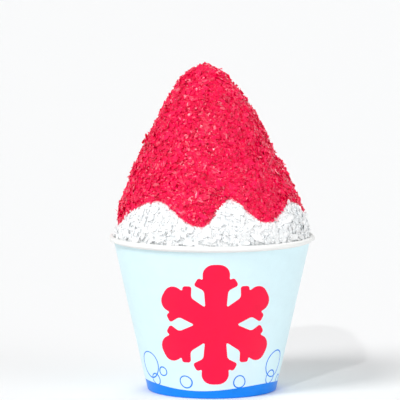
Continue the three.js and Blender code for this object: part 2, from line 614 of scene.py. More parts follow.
@dataclass(frozen=True)
class PaperCup:
    """A rolled and glued paper cup with a curled rim, a folded foot and a recessed base."""

    height: float
    rim_radius: float
    base_bottom: float
    foot_radius: float = 32 * MM
    paper: float = 0.5 * MM
    curl_radius: float = 1.3 * MM
    curl_sweep: float = math.radians(305)
    curl_steps: int = 20
    hem_layers: int = 3
    hem_height: float = 6 * MM
    hem_press: float = 0.1 * MM
    hem_ledge: float = 0.6 * MM
    fold_steps: int = 10
    base_bend: float = 0.6 * MM
    base_bend_steps: int = 5
    skirt: float = 0.45 * MM
    skirt_gap: float = 0.025 * MM
    skirt_end: float = 1.2 * MM
    columns: int = 192
    lap_width: float = 7 * MM
    lap_ramp: float = 2.2 * MM
    lap_step: float = 0.08 * MM
    lap_height: float = 0.4 * MM
    wave_height: float = 4.9 * MM
    wave_swing: float = 1.0 * MM
    wave_count: int = 3
    wave_trough: float = math.radians(-12)
    field_end: float = 3.1 * MM  # below the top of the rim
    ink: float = 0.03 * MM
    ink_root: float = 0.08 * MM

    @classmethod
    def from_frame(cls) -> "PaperCup":
        """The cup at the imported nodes' sizes, rounded to a tenth of a millimetre.

        Returns:
            The cup.
        """
        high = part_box("cup_wall")[1]
        return cls(
            height=round(high[2], 4),
            rim_radius=round(high[0], 4),
            base_bottom=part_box("cup_base")[0][2],
        )

    @property
    def rim_level(self) -> float:
        """Height of the middle of the curled rim, where the heap starts."""
        return self.height - self.curl_radius

    @property
    def slope(self) -> float:
        """How much the wall's radius grows with height."""
        top = self.rim_radius - 2 * self.curl_radius + self.paper
        return (top - self.foot_radius) / self.rim_level

    @property
    def upright(self) -> float:
        """How much height the wall gains for each metre along its slant."""
        return 1 / math.hypot(1, self.slope)

    @property
    def lap_half_angle(self) -> float:
        """Half the angle that the glued overlap takes."""
        return self.lap_width / 2 / (self.foot_radius + self.slope * self.height / 2)

    @property
    def outside_levels(self) -> tuple[float, ...]:
        """Heights of the outside's rings: the wave, the hem's two edges and the field's end."""
        hem_end = self.hem_height + self.hem_ledge
        return (self.wave_height, self.hem_height, hem_end, self.height - self.field_end)

    def outside(self, height: float) -> float:
        """Radius of the wall's outside at a height; the folded hem is pressed in a little."""
        share = min(max((height - self.hem_height) / self.hem_ledge, 0.0), 1.0)
        return self.foot_radius + self.slope * height - self.hem_press * (1 - share)

    def wave(self, angle: float) -> float:
        """Height of the printed wave at an angle."""
        return self.wave_height - self.wave_swing * math.cos(self.wave_count * (angle - self.wave_trough))

    def lap_lift(self, angle: float) -> float:
        """How far the glued overlap up the back lifts the outside.

        Args:
            angle: The angle from the front.

        Returns:
            The lift in metres, 0 away from the overlap.
        """
        past = angle % math.tau - math.pi + self.lap_half_angle
        if not 0 < past < 2 * self.lap_half_angle:
            return 0.0
        ramp = min(past / (2 * self.lap_half_angle) * self.lap_width / self.lap_ramp, 1.0)
        return self.lap_height * ramp * ramp * (3 - 2 * ramp)

    def section(self) -> list[tuple[float, float, Ring]]:
        """The wall's closed section: round the fold, up outside, round the curl and down inside.

        Returns:
            Radius and height of each ring, and what the paper shows from it to the next.
        """
        fold = self.hem_layers * self.paper / 2
        middle = self.outside(fold) - fold
        rings = []
        for i in range(self.fold_steps + 1):
            turn = math.pi * (i / self.fold_steps - 1)
            ink = Ring.WAVE_INK if i >= self.fold_steps // 2 else Ring.BARE
            rings.append((middle + fold * math.cos(turn), fold + fold * math.sin(turn), ink))
        for level in self.outside_levels:
            rings.append((self.outside(level), level, Ring.FIELD_INK))
        rings[-1] = (*rings[-1][:2], Ring.BARE)
        curl_middle = self.rim_radius - self.curl_radius
        there = range(self.curl_steps + 1)
        for radius, steps in ((self.curl_radius - self.paper, there), (self.curl_radius, reversed(there))):
            for i in steps:
                turn = math.pi - self.curl_sweep * i / self.curl_steps
                out = curl_middle + radius * math.cos(turn)
                rings.append((out, self.rim_level + radius * math.sin(turn), Ring.BARE))
        hem_outside = self.outside(self.hem_height)
        for layers in (1, self.hem_layers):
            rings.append((hem_outside - layers * self.paper, self.hem_height, Ring.BARE))
        return rings

    def turned(self, shape: BMesh, profile: Sequence[BMVert], closed: bool, steps: int) -> None:
        """Spins a profile of vertices, joined in order, into a round shape.

        Args:
            shape: The bmesh that holds the profile.
            profile: The profile's vertices.
            closed: Whether the last vertex joins the first.
            steps: Number of columns.
        """
        after = [*profile[1:], profile[0]] if closed else profile[1:]
        edges = [shape.edges.new(pair) for pair in zip(profile, after)]
        bmesh.ops.spin(
            shape,
            geom=[*profile, *edges],
            cent=(0, 0, 0),
            axis=(0, 0, 1),
            angle=math.tau,
            steps=steps,
            use_merge=True,
            use_duplicate=False,
        )

    def wall(self) -> Piece:
        """The wall, turned from its section, with the printed wave and the lap up the back shaped in.

        Returns:
            The wall.
        """
        section = self.section()
        shape = bmesh.new()
        ring_layer = shape.verts.layers.int.new("ring")
        profile = []
        for number, (radius, height, _) in enumerate(section):
            vert = shape.verts.new((radius, 0, height))
            vert[ring_layer] = number
            profile.append(vert)
        self.turned(shape, profile, True, self.columns)
        last = len(section) - 1
        for face in shape.faces:
            numbers = {vert[ring_layer] for vert in face.verts}
            number = last if numbers == {0, last} else min(numbers)
            face.material_index = section[number][2].value
        self.shape_outside(shape, ring_layer)
        return finished("cup_paper", shape, (PRINTED_FIELD, SKY_INK, BARE_PAPER), Part.WALL)

    def shape_outside(self, shape: BMesh, ring_layer: Layer) -> None:
        """Moves the outside's rings to the printed wave and over the lap, whose edge is a crisp step.

        Args:
            shape: The turned wall.
            ring_layer: The layer that holds each vertex's ring.
        """
        wave_ring = self.fold_steps + 1
        outside_rings = range(self.fold_steps, wave_ring + len(self.outside_levels))
        spacing = math.tau / self.columns
        free_edge = math.pi + self.lap_half_angle
        column = math.floor(free_edge / spacing)
        sides = {column: -1, column + 1: 1}
        for vert in shape.verts:
            if vert[ring_layer] not in outside_rings:
                continue
            angle = angle_of(vert.co) % math.tau
            height = self.wave(angle) if vert[ring_layer] == wave_ring else vert.co.z
            radius = vert.co.xy.length + self.slope * (height - vert.co.z)
            side = sides.get(round(angle / spacing))
            if side is not None:
                angle = free_edge + side * self.lap_step / radius
            vert.co = around(angle, radius + self.lap_lift(angle), height)

    def base(self) -> Piece:
        """The recessed base sheet, its edge turned down into the folded hem.

        Returns:
            The base.
        """
        shape = bmesh.new()
        bend = self.base_bend
        top = self.base_bottom + self.paper
        skirt = self.outside(self.base_bottom) - self.paper - self.skirt_gap
        lean = self.slope * (top - bend - self.skirt_end)
        corner = skirt - bend
        outer = [(0.0, top)]
        for i in range(self.base_bend_steps + 1):
            turn = i * math.pi / 2 / self.base_bend_steps
            outer.append((corner + bend * math.sin(turn), top - bend * (1 - math.cos(turn))))
        outer.append((skirt - lean, self.skirt_end))
        inner = [
            (skirt - lean - self.skirt, self.skirt_end),
            (skirt - self.skirt, self.base_bottom - self.paper),
            (corner, self.base_bottom),
            (0.0, self.base_bottom),
        ]
        profile = [shape.verts.new((radius, 0, height)) for radius, height in outer + inner]
        self.turned(shape, profile, False, self.columns // 2)
        return finished("base_paper", shape, (BARE_PAPER,), Part.BASE)

    def wrap(self, shape: BMesh, angle: float, height: float) -> None:
        """Lays a flat drawing, in metres across and up, on the wall's outside as a film of ink.

        Args:
            shape: The flat drawing on the XY plane; each vertex's Z is its depth in the film.
            angle: Where the drawing's middle goes, from the front.
            height: Where its middle goes, up from the foot.
        """
        for vert in shape.verts:
            across, up, lift = vert.co
            z = height + up * self.upright
            turn = angle + across / self.outside(z)
            vert.co = around(turn, self.outside(z) + self.lap_lift(turn) + lift, z)

    def as_film(self, flat: BMesh) -> None:
        """Gives a flat drawing the thickness of an ink film, with its root sunk in the paper.

        Args:
            flat: The flat drawing, on the XY plane.
        """
        made = bmesh.ops.extrude_face_region(flat, geom=flat.faces[:])
        raised = {item for item in made["geom"] if isinstance(item, BMVert)}
        for vert in flat.verts:
            vert.co.z = self.ink if vert in raised else -self.ink_root


@dataclass(frozen=True)
class BubblePrint:
    """Bubbles drawn in a thin, slightly unsteady line, in clusters that rise from the printed wave."""

    cup: PaperCup
    line: float = 0.6 * MM
    line_unevenness: float = 0.12
    sides: int = 40
    wander: tuple[float, float] = (0.035, 0.02)
    bubbles: tuple[Bubble, ...] = (
        Bubble(-59, 15.0, 6.7),
        Bubble(-43.5, 12.6, 2.3),
        Bubble(-54, 8.0, 2.9),
        Bubble(-22, 8.3, 3.1),
        Bubble(23.2, 8.3, 3.1),
        Bubble(59, 15.5, 6.6),
        Bubble(57, 8.9, 3.4),
        Bubble(74, 6.6, 2.1),
        Bubble(104, 8.2, 3.0),
        Bubble(124, 13.0, 2.3),
        Bubble(142, 9.4, 4.6),
        Bubble(164, 7.4, 2.4),
        Bubble(203, 9.0, 3.4),
        Bubble(222, 15.0, 5.6),
        Bubble(236, 8.2, 2.6),
        Bubble(254, 7.4, 2.0),
    )

    def one(self, bubble: Bubble, number: int) -> BMesh:
        """One bubble's line, wrapped on the cup.

        Args:
            bubble: The bubble.
            number: Its number, which varies how its line wanders.

        Returns:
            The bubble's own bmesh.
        """
        flat = bmesh.new()
        radius = bubble.radius * MM
        for side in (1, -1):
            reach = radius + side * self.line / 2
            bmesh.ops.create_circle(flat, cap_ends=False, radius=reach, segments=self.sides)
        bmesh.ops.bridge_loops(flat, edges=flat.edges[:])
        for vert in flat.verts:
            turn = math.atan2(vert.co.y, vert.co.x)
            wander = self.wander[0] * math.sin(2 * turn + number)
            wander += self.wander[1] * math.sin(3 * turn + 2.3 * number)
            if vert.co.length < radius:
                wander += self.line_unevenness * self.line / radius * math.sin(turn + 1.7 * number)
            vert.co *= 1 + wander
        self.cup.as_film(flat)
        self.cup.wrap(flat, math.radians(bubble.degrees), bubble.height * MM)
        return flat

    def build(self) -> Piece:
        """The bubbles, one piece of ink.

        Returns:
            The bubbles.
        """
        shape = bmesh.new()
        for number, bubble in enumerate(self.bubbles):
            add_to(shape, self.one(bubble, number))
        return finished("bubble_print", shape, (SKY_INK,), Part.WALL)


@dataclass(frozen=True)
class CrystalPrint:
    """A chunky six-armed snow crystal in crimson ink at the front."""

    cup: PaperCup
    height: float = 37.6 * MM
    angle: float = math.radians(2.5)
    arms: int = 6
    arm: float = 31.0 * MM
    tip_half_width: float = 7.4 * MM
    root_half_width: float = 5.2 * MM
    branch_from: float = 17.6 * MM
    branch_width: float = 4.6 * MM
    branch_reach: float = 8.8 * MM
    tip_rounding: float = 6.2 * MM
    rounding: float = 1.5 * MM
    rounding_steps: int = 6
    strip: float = 2.0 * MM

    def side(self, along: float) -> float:
        """Half the arm's width at a distance from the crystal's middle."""
        growth = self.tip_half_width - self.root_half_width
        return self.root_half_width + growth * (along / self.arm) ** 2

    def half_arm(self) -> list[Vector]:
        """One side of an arm, with x along the arm.

        Returns:
            Its corners, from the notch between arms to the tip.
        """
        slant = math.pi / self.arms * 2
        ahead = Vector((math.cos(slant), math.sin(slant)))
        across = Vector((-ahead.y, ahead.x)) * self.branch_width
        high = self.branch_from + self.branch_width / math.sin(slant)
        branch_root = Vector((high, self.side(high)))
        branch_tip = branch_root + ahead * (self.branch_reach - branch_root.y) / ahead.y
        notch = self.root_half_width / math.tan(slant / 2)
        return [
            Vector((notch, self.root_half_width)),
            Vector((self.branch_from, self.side(self.branch_from))),
            branch_tip + across,
            branch_tip,
            branch_root,
            Vector((self.arm, self.side(self.arm))),
        ]

    def build(self) -> Piece:
        """The crystal as one film of ink.

        Returns:
            The crystal.
        """
        flat = bmesh.new()
        half = self.half_arm()
        mirrored = [Vector((point.x, -point.y)) for point in half]
        outline = []
        for number in range(self.arms):
            turned = Matrix.Rotation(math.pi / 2 + math.tau * number / self.arms, 2)
            outline += [turned @ point for point in mirrored + half[:0:-1]]
        flat.faces.new([flat.verts.new(point.to_3d()) for point in outline])
        for rounding, at_tips in ((self.rounding, False), (self.tip_rounding, True)):
            bmesh.ops.bevel(
                flat,
                geom=[vert for vert in flat.verts if (vert.co.length > self.arm) == at_tips],
                offset=rounding,
                offset_type="OFFSET",
                segments=self.rounding_steps,
                profile=0.5,
                affect="VERTICES",
                clamp_overlap=True,
                material=-1,
            )
        bmesh.ops.triangulate(flat, faces=flat.faces[:])
        half_count = round(self.arm / self.strip)
        strips = [self.strip * i for i in range(-half_count, half_count + 1)]
        cuts = [((step, 0, 0), (1, 0, 0)) for step in strips]
        cuts += [((0, step, 0), (0, 1, 0)) for step in strips[::2]]
        for level in self.cup.outside_levels[1:3]:
            cuts.append(((0, (level - self.height) / self.cup.upright, 0), (0, 1, 0)))
        for place, facing in cuts:
            everything = [*flat.verts, *flat.edges, *flat.faces]
            bmesh.ops.bisect_plane(flat, geom=everything, plane_co=place, plane_no=facing)
        self.cup.as_film(flat)
        self.cup.wrap(flat, self.angle, self.height)
        return finished("crystal_print", flat, (CRIMSON_INK,), Part.WALL)


def add_to(shape: BMesh, more: BMesh) -> None:
    """Adds one bmesh to another and frees it.

    Args:
        shape: The bmesh that grows.
        more: The bmesh to add.
    """
    mesh = bpy.data.meshes.new("joining")
    more.to_mesh(mesh)
    more.free()
    shape.from_mesh(mesh)
    bpy.data.meshes.remove(mesh)


# ---- Ice ----


@dataclass(frozen=True)
class HeapShape:
    """The heap's uneven outline and the syrup's edge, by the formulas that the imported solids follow."""

    rim_level: float
    top: float
    radius: float
    taper: float = 0.556
    fullness: float = 0.05
    lean: float = -3.6 * MM
    lump_height: float = 0.8 * MM
    lump_fade: float = 7 * MM
    # Waves round the heap, radians of phase for each metre up, phase, and share of the height.
    lump_waves: tuple[tuple[int, float, float, float], ...] = (
        (3, 110.0, 0.4, 0.4),
        (5, -190.0, 1.3, 0.3),
        (8, 310.0, 4.1, 0.2),
        (11, -370.0, 2.2, 0.1),
    )
    # The syrup's edge swings between these turning points: degrees from the front, and millimetres up.
    # fmt: off
    edge_turns: tuple[tuple[float, float], ...] = (
        (-90, 82), (-37, 97), (-7, 85.6), (12, 98.5), (36, 87), (64, 95.5),
        (88, 88.5), (114, 97), (143, 85), (168, 97.5), (194, 86.5), (221, 98),
    )
    # fmt: on
    stations: int = 1500

    @classmethod
    def on(cls, cup: PaperCup) -> "HeapShape":
        """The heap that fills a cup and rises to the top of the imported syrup-soaked ice.

        Args:
            cup: The cup.

        Returns:
            The heap's outline.
        """
        return cls(
            rim_level=cup.rim_level,
            top=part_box("syrup_ice")[1][2],
            radius=cup.rim_radius - 2 * cup.curl_radius,
        )

    def share_up(self, height: Array) -> Array:
        """How far up the heap a height is, from 0 at the rim to 1 at the tip."""
        return np.clip((height - self.rim_level) / (self.top - self.rim_level), 0, 1)

    def radius_at(self, height: Array) -> Array:
        """Radius of the smooth heap.

        Args:
            height: Heights.

        Returns:
            A radius for each.
        """
        up = self.share_up(height)
        full = 1 + self.fullness * np.sin(np.pi * np.minimum(2 * up, 1))
        return np.minimum(self.radius * (1 - up) ** self.taper * full, self.radius)

    def lumps(self, angle: Array, height: Array, radius: Array) -> Array:
        """How far the heap's lumps stand out.

        Args:
            angle: Angles from the front.
            height: Heights.
            radius: The smooth heap's radius at each height.

        Returns:
            How far out, in metres, at each place.
        """
        waves = sum(
            share * np.sin(count * angle + rise * height + phase)
            for count, rise, phase, share in self.lump_waves
        )
        above_rim = smooth_step(height - self.rim_level, 0, self.lump_fade)
        off_tip = smooth_step(radius, 0, self.lump_fade)
        return self.lump_height * waves * above_rim * off_tip

    def edge_height(self, angle: Array) -> Array:
        """Height of the syrup's edge: smooth swings from one turning point to the next.

        Args:
            angle: Angles from the front.

        Returns:
            The edge's height at each.
        """
        at, level = np.array([*self.edge_turns, (self.edge_turns[0][0] + 360, self.edge_turns[0][1])]).T
        degrees = at[0] + (np.degrees(angle) - at[0]) % 360
        after = np.clip(np.searchsorted(at, degrees), 1, len(at) - 1)
        share = (degrees - at[after - 1]) / (at[after] - at[after - 1])
        swing = (1 - np.cos(np.pi * share)) / 2
        return MM * (level[after - 1] + (level[after] - level[after - 1]) * swing)

    @cached_property
    def meridian(self) -> tuple[Array, Array, Array]:
        """The smooth heap's outline at close stations from the tip to the rim.

        Returns:
            Heights, radii and reaches; the reach is 0 at the tip and 1 at the rim.
        """
        height = self.top - np.linspace(0, 1, self.stations) ** 2 * (self.top - self.rim_level)
        radius = self.radius_at(height)
        run = np.concatenate([[0.0], np.cumsum(np.hypot(np.diff(height), np.diff(radius)))])
        return height, radius, run / run[-1]

    def reach_at(self, height: Array) -> Array:
        """The reach of a height."""
        heights, _, reaches = self.meridian
        return np.interp(-height, -heights, reaches)

    def frame_at(self, angle: Array, reach: Array) -> tuple[Array, Array]:
        """Points on the heap's uneven outside, and the smooth heap's outward directions there.

        Args:
            angle: Angles from the front.
            reach: Reaches, from 0 at the tip to 1 at the rim.

        Returns:
            Points and directions, one row each.
        """
        heights, radii, reaches = self.meridian
        step = 2 / self.stations
        height, radius = np.interp(reach, reaches, heights), np.interp(reach, reaches, radii)
        rise = np.interp(reach - step, reaches, heights) - np.interp(reach + step, reaches, heights)
        run = np.interp(reach + step, reaches, radii) - np.interp(reach - step, reaches, radii)
        length = np.hypot(rise, run)
        radius = radius + self.lumps(angle, height, radius)
        shift = self.lean * self.share_up(height)
        points = np.stack([radius * np.sin(angle) + shift, -radius * np.cos(angle), height], axis=-1)
        out, up = rise / length, run / length
        return points, np.stack([out * np.sin(angle), -out * np.cos(angle), up], axis=-1)


def smooth_step(value: Array, low: float, high: float) -> Array:
    """0 below low and 1 above high, with a smooth climb between."""
    share = np.clip((value - low) / (high - low), 0, 1)
    return share * share * (3 - 2 * share)


@dataclass(frozen=True)
class Crumble:
    """Relief of shaved ice that is finer than the heap's lumps: clumps, tilted facets and grain."""

    clump: float = 8 * MM
    clump_height: float = 1.1 * MM
    facet: float = 2.3 * MM
    facet_tilt: float = 0.42
    facet_step: float = 0.22 * MM
    lean_pick: float = 1.7
    level_pick: float = 3.1
    grain: float = 0.9 * MM
    grain_height: float = 0.16 * MM

    def one(self, place: Vector) -> float:
        """How far the relief stands out at a point of the heap.

        Args:
            place: The point.

        Returns:
            How far out, in metres.
        """
        middle = noise.voronoi(place / self.facet)[1][0]
        lean = noise.cell_vector(middle * self.lean_pick)
        facet = (place / self.facet - middle).dot(lean) * self.facet_tilt * self.facet
        level = noise.cell(middle * self.level_pick) * self.facet_step
        clump = noise.noise(place / self.clump) * self.clump_height
        return clump + facet + level + noise.noise(place / self.grain) * self.grain_height

    def at(self, points: Array) -> Array:
        """How far the relief stands out at each point."""
        return np.array([self.one(Vector(point)) for point in points])


@dataclass(frozen=True)
class Heap:
    """The heap of shaved ice: a core of plain ice, a soaked core over it, and loose shavings on both."""

    shape: HeapShape
    cup: PaperCup
    crumble: Crumble = Crumble()
    inset: float = 1.05 * MM
    cap_reach: float = 0.24
    cap_cells: int = 120
    soaked_rings: int = 150
    plain_columns: int = 560
    plain_rings: int = 44
    overlap: float = 1.5 * MM
    overlap_rings: int = 3
    sunk: float = 0.5 * MM
    snug: float = 0.1 * MM
    floor_edge: float = 2 * MM
    # Relief over which the cores' painted shade in the hollows goes from lightest to darkest.
    shade_relief: float = 2 * MM
    soak_middle: float = 96 * MM
    meeting_rings: int = 4
    tide: float = 0.9 * MM

    def core_points(self, angle: Array, reach: Array, sink: Array | float = 0.0) -> tuple[Array, Array]:
        """Points of a core's crumbled outside, and how far the relief stands out at each.

        Args:
            angle: Angles from the front.
            reach: Reaches from the tip.
            sink: How much deeper than usual the outside lies.

        Returns:
            Points, one row each, and the relief's heights.
        """
        points, out = self.shape.frame_at(angle, reach)
        relief = self.crumble.at(points)
        return points + out * (relief - self.inset - sink)[:, None], relief

    def soak_at(self, angle: Array, height: Array) -> Array:
        """How far the ice is soaked with syrup, from 0 to 1, at an angle and height."""
        return smooth_step(height - self.shape.edge_height(angle), -self.tide, self.tide)

    def meeting_points(self, angle: Array, share: float) -> Array:
        """Points where plain and soaked ice meet inside the heap.

        Args:
            angle: Angles from the front.
            share: How far out from the axis, up to 1 at the syrup's edge.

        Returns:
            Points, one row each.
        """
        edge = self.shape.edge_height(angle)
        points = self.shape.frame_at(angle, self.shape.reach_at(edge))[0] * share
        points[:, 2] = self.soak_middle + (edge - self.soak_middle) * share**2
        return points

    def turn_in(self, points: Array, angle: Array, past: Array) -> None:
        """Puts the rings past a core's last outside ring where plain and soaked ice meet.

        Args:
            points: Each vertex's place, changed in place.
            angle: Each vertex's angle from the front.
            past: How many rings past the last outside ring each vertex is.
        """
        for number in range(1, self.meeting_rings + 1):
            inner = past == number
            points[inner] = self.meeting_points(angle[inner], 1 - number / (self.meeting_rings + 0.5))

    def soaked_core(self) -> Piece:
        """The soaked ice: a square patch rounded over the tip, let down in rings to the wavy edge.

        Returns:
            The core.
        """
        shape = bmesh.new()
        ring_layer = shape.verts.layers.int.new("ring")
        bmesh.ops.create_grid(shape, x_segments=self.cap_cells, y_segments=self.cap_cells, size=1)
        for vert in shape.verts:
            vert.co = rounded(vert.co)
        outer = self.soaked_rings
        extruded_rings(shape, ring_layer, outer + self.meeting_rings)
        angle, across, ring = ring_places(shape, ring_layer)
        down = self.cap_reach + (self.shape.reach_at(self.shape.edge_height(angle)) - self.cap_reach) * (
            np.minimum(ring, outer) / outer
        )
        reach = np.where(ring == 0, across * self.cap_reach, down)
        points, relief = self.core_points(angle, reach)
        self.turn_in(points, angle, ring - outer)
        return self.core("syrup_ice_core", shape, ring_layer, points, relief, SOAKED_ICE, Part.SOAKED)

    def plain_core(self) -> Piece:
        """The plain ice: it fills the cup, rises to the syrup's edge and goes on a little under it.

        Returns:
            The core.
        """
        shape = bmesh.new()
        ring_layer = shape.verts.layers.int.new("ring")
        bmesh.ops.create_circle(shape, cap_ends=True, segments=self.plain_columns, radius=1)
        floor = self.cup.base_bottom + self.cup.paper + self.snug
        top = self.shape.rim_level - self.cup.curl_radius
        lining = ((floor, self.floor_edge), (floor, self.snug), (top, self.snug))
        rim_ring = len(lining) - 1
        last_band = rim_ring + self.plain_rings + self.overlap_rings
        extruded_rings(shape, ring_layer, last_band + self.meeting_rings)
        angle, _, ring = ring_places(shape, ring_layer)
        edge = self.shape.edge_height(angle)
        share = np.clip((ring - rim_ring) / self.plain_rings, 0, 1)
        past = np.clip((ring - rim_ring - self.plain_rings) / self.overlap_rings, 0, 1)
        edge_reach = self.shape.reach_at(edge)
        overlap = self.shape.reach_at(edge + self.overlap) - edge_reach
        reach = 1 + (edge_reach - 1) * share + overlap * past
        points, relief = self.core_points(angle, reach, self.sunk * past)
        for number, (level, inset) in enumerate(lining):
            inside = ring == number
            radius = self.cup.outside(level) - self.cup.paper - inset
            points[inside, 0] = radius * np.sin(angle[inside])
            points[inside, 1] = -radius * np.cos(angle[inside])
            points[inside, 2] = level
        self.turn_in(points, angle, ring - last_band)
        return self.core("plain_ice_core", shape, ring_layer, points, relief, PLAIN_ICE, Part.PLAIN)

    def core(
        self,
        name: str,
        shape: BMesh,
        ring_layer: Layer,
        points: Array,
        relief: Array,
        finish: IceFinish,
        part: Part,
    ) -> Piece:
        """Puts a core's vertices in place, closes it and writes how soaked each is and how much painted
        shade its hollows take.

        Args:
            name: The piece's name.
            shape: The rings, not yet in place, open at the last ring.
            ring_layer: The layer that holds each vertex's ring.
            points: Each vertex's place.
            relief: How far the relief stands out at each vertex.
            finish: The core's finish.
            part: What it belongs to.

        Returns:
            The core.
        """
        soak_layer = shape.verts.layers.float.new(SOAK)
        shade_layer = shape.verts.layers.float.new(SHADE)
        angle = np.arctan2(points[:, 0], -points[:, 1])
        soak = self.soak_at(angle, points[:, 2])
        # Darker in the relief's hollows: on the soaked core partly syrup pooling deeper there and partly
        # painted shade, on the plain core painted bluish shade alone.
        shade = np.clip(0.5 - relief / self.shade_relief, 0, 1)
        for vert, point, wet, dark in zip(shape.verts, points, soak, shade):
            vert.co = point
            vert[soak_layer] = wet
            vert[shade_layer] = dark
        last = max(vert[ring_layer] for vert in shape.verts)
        inmost = [vert for vert in shape.verts if vert[ring_layer] == last]
        bmesh.ops.pointmerge(shape, verts=inmost, merge_co=(0, 0, self.soak_middle))
        return finished(name, shape, (finish,), part, crease=math.pi)


def rounded(place: Vector) -> Vector:
    """Takes a point of the square from -1 to 1 to the disc, square rings to round ones.

    Args:
        place: A point of the square.

    Returns:
        Its place on the disc.
    """
    if max(abs(place.x), abs(place.y)) == 0:
        return Vector((0, 0, 0))
    if abs(place.x) > abs(place.y):
        reach, turn = place.x, math.pi / 4 * place.y / place.x
    else:
        reach, turn = place.y, math.pi / 2 - math.pi / 4 * place.x / place.y
    return Vector((reach * math.cos(turn), reach * math.sin(turn), 0))


def extruded_rings(shape: BMesh, ring_layer: Layer, count: int) -> None:
    """Extrudes a sheet's edge again and again, and numbers each new ring of vertices.

    Args:
        shape: The sheet.
        ring_layer: The layer that takes each vertex's ring.
        count: How many rings to add.
    """
    edges = [edge for edge in shape.edges if edge.is_boundary]
    for number in range(1, count + 1):
        made = bmesh.ops.extrude_edge_only(shape, edges=edges)["geom"]
        for item in made:
            if isinstance(item, BMVert):
                item[ring_layer] = number
        edges = [item for item in made if isinstance(item, BMEdge) and item.is_boundary]


def ring_places(shape: BMesh, ring_layer: Layer) -> tuple[Array, Array, Array]:
    """Where each vertex of a flat sheet of rings is.

    Args:
        shape: The sheet.
        ring_layer: The layer that holds each vertex's ring.

    Returns:
        Its angle from the front, its distance from the middle, and its ring.
    """
    flat = np.array([vert.co[:] for vert in shape.verts])
    ring = np.array([vert[ring_layer] for vert in shape.verts])
    return np.arctan2(flat[:, 0], -flat[:, 1]), np.hypot(flat[:, 0], flat[:, 1]), ring


@dataclass(frozen=True)
class LooseIce:
    """One kind of loose ice, strewn evenly over the heap in a few shapes of its own."""

    name: str
    count: int
    seed: int
    length: float
    width: float
    thickness: float
    tilt: float
    lift: tuple[float, float] = (-0.2 * MM, 0.3 * MM)
    variants: int = 9
    # Where it lies: down to the lowest reach, with the tip's radius a little more so that it isn't bare.
    lowest_reach: float = 0.985
    tip_radius: float = 0.4 * MM
    straying: float = 0.45  # across the syrup's edge, in tides
    follow: float = 0.8  # how much of the core's relief it follows
    poise: float = 0.25  # how much of its length a leaning one stands up by
    # Its size: uneven, finer near the tip and the syrup's edge, and finer where syrup melts it.
    spread: float = 0.3
    tip_reach: float = 0.1
    calmest: float = 0.5
    melting: float = 0.2
    # Its colour: how deep at most, and how much of the syrup the palest have lost.
    deepest: float = 0.95
    palest: float = 0.16

    def shape(self, draw: np.random.Generator) -> BMesh:
        """One of its shapes, closed, at the origin.

        Args:
            draw: Where its random numbers come from.

        Returns:
            The shape's bmesh.
        """
        raise NotImplementedError

    def variant(self, draw: np.random.Generator) -> tuple[Array, Array]:
        """One of its shapes, ready to be strewn.

        Args:
            draw: Where its random numbers come from.

        Returns:
            Its vertices, and its faces as vertex numbers.
        """
        shape = self.shape(draw)
        bmesh.ops.recalc_face_normals(shape, faces=shape.faces)
        shape.verts.index_update()
        points = np.array([vert.co[:] for vert in shape.verts])
        faces = np.array([[vert.index for vert in face.verts] for face in shape.faces])
        shape.free()
        return points, faces

    def strew(self, heap: Heap) -> list[Piece]:
        """Strews it evenly over the heap.

        Args:
            heap: The heap that it lies on.

        Returns:
            The soaked ones and the plain ones, each one piece.
        """
        draw = np.random.default_rng(self.seed)
        shapes = [self.variant(draw) for _ in range(self.variants)]
        heights, radii, reaches = heap.shape.meridian
        stations = np.linspace(0, self.lowest_reach, heap.shape.stations)
        area = np.cumsum(np.interp(stations, reaches, radii) + self.tip_radius)
        reach = np.interp(draw.uniform(0, area[-1], self.count), area, stations)
        angle = draw.uniform(-math.pi, math.pi, self.count)
        height = np.interp(reach, reaches, heights)
        soak = heap.soak_at(angle, height + draw.normal(0, self.straying * heap.tide, self.count))
        points, out = heap.shape.frame_at(angle, reach)
        relief = heap.crumble.at(points)
        lean = np.abs(draw.normal(0, self.tilt, self.count))
        border = np.abs(height - heap.shape.edge_height(angle))
        calm = np.minimum(smooth_step(border, 0, self.length), smooth_step(reach, 0, self.tip_reach))
        finer = (self.calmest + (1 - self.calmest) * calm) * (1 - self.melting * soak)
        size = np.exp(draw.normal(0, self.spread, self.count)) * finer
        proud = draw.uniform(*self.lift, self.count) + self.poise * self.length * np.sin(lean)
        points = points + out * (relief * self.follow - heap.inset + proud)[:, None]
        turns = leaning(draw, out, lean) * size[:, None, None]
        kind = draw.integers(0, self.variants, self.count)
        shade = draw.uniform(0.0, self.deepest, self.count)
        thinned = 1 - self.palest * draw.random(self.count) ** 3
        pieces = []
        for wet, finish, part in ((True, SOAKED_ICE, Part.SOAKED), (False, PLAIN_ICE, Part.PLAIN)):
            mine = (soak > 0.5) == wet
            wetness = (soak * thinned)[mine]
            mesh = strewn_mesh(shapes, points[mine], turns[mine], kind[mine], wetness, shade[mine])
            pieces.append(dressed(f"{part.value[0]}_{self.name}", mesh, (finish,), part))
        return pieces


def leaning(draw: np.random.Generator, out: Array, lean: Array) -> Array:
    """Turns that stand things on a surface, spun anyhow and leaning.

    Args:
        draw: Where the random directions come from.
        out: The surface's outward direction at each thing.
        lean: How far each leans away from it, in radians.

    Returns:
        One 3 by 3 matrix each, whose columns are the thing's own axes.
    """

    def unit(rows: Array) -> Array:
        """Rows at length 1."""
        return rows / np.linalg.norm(rows, axis=-1, keepdims=True)

    aside = draw.normal(size=out.shape)
    aside = unit(aside - out * np.sum(aside * out, axis=-1, keepdims=True))
    up = out * np.cos(lean)[:, None] + aside * np.sin(lean)[:, None]
    along = unit(np.cross(up, draw.normal(size=out.shape)))
    return np.stack([along, np.cross(up, along), up], axis=-1)


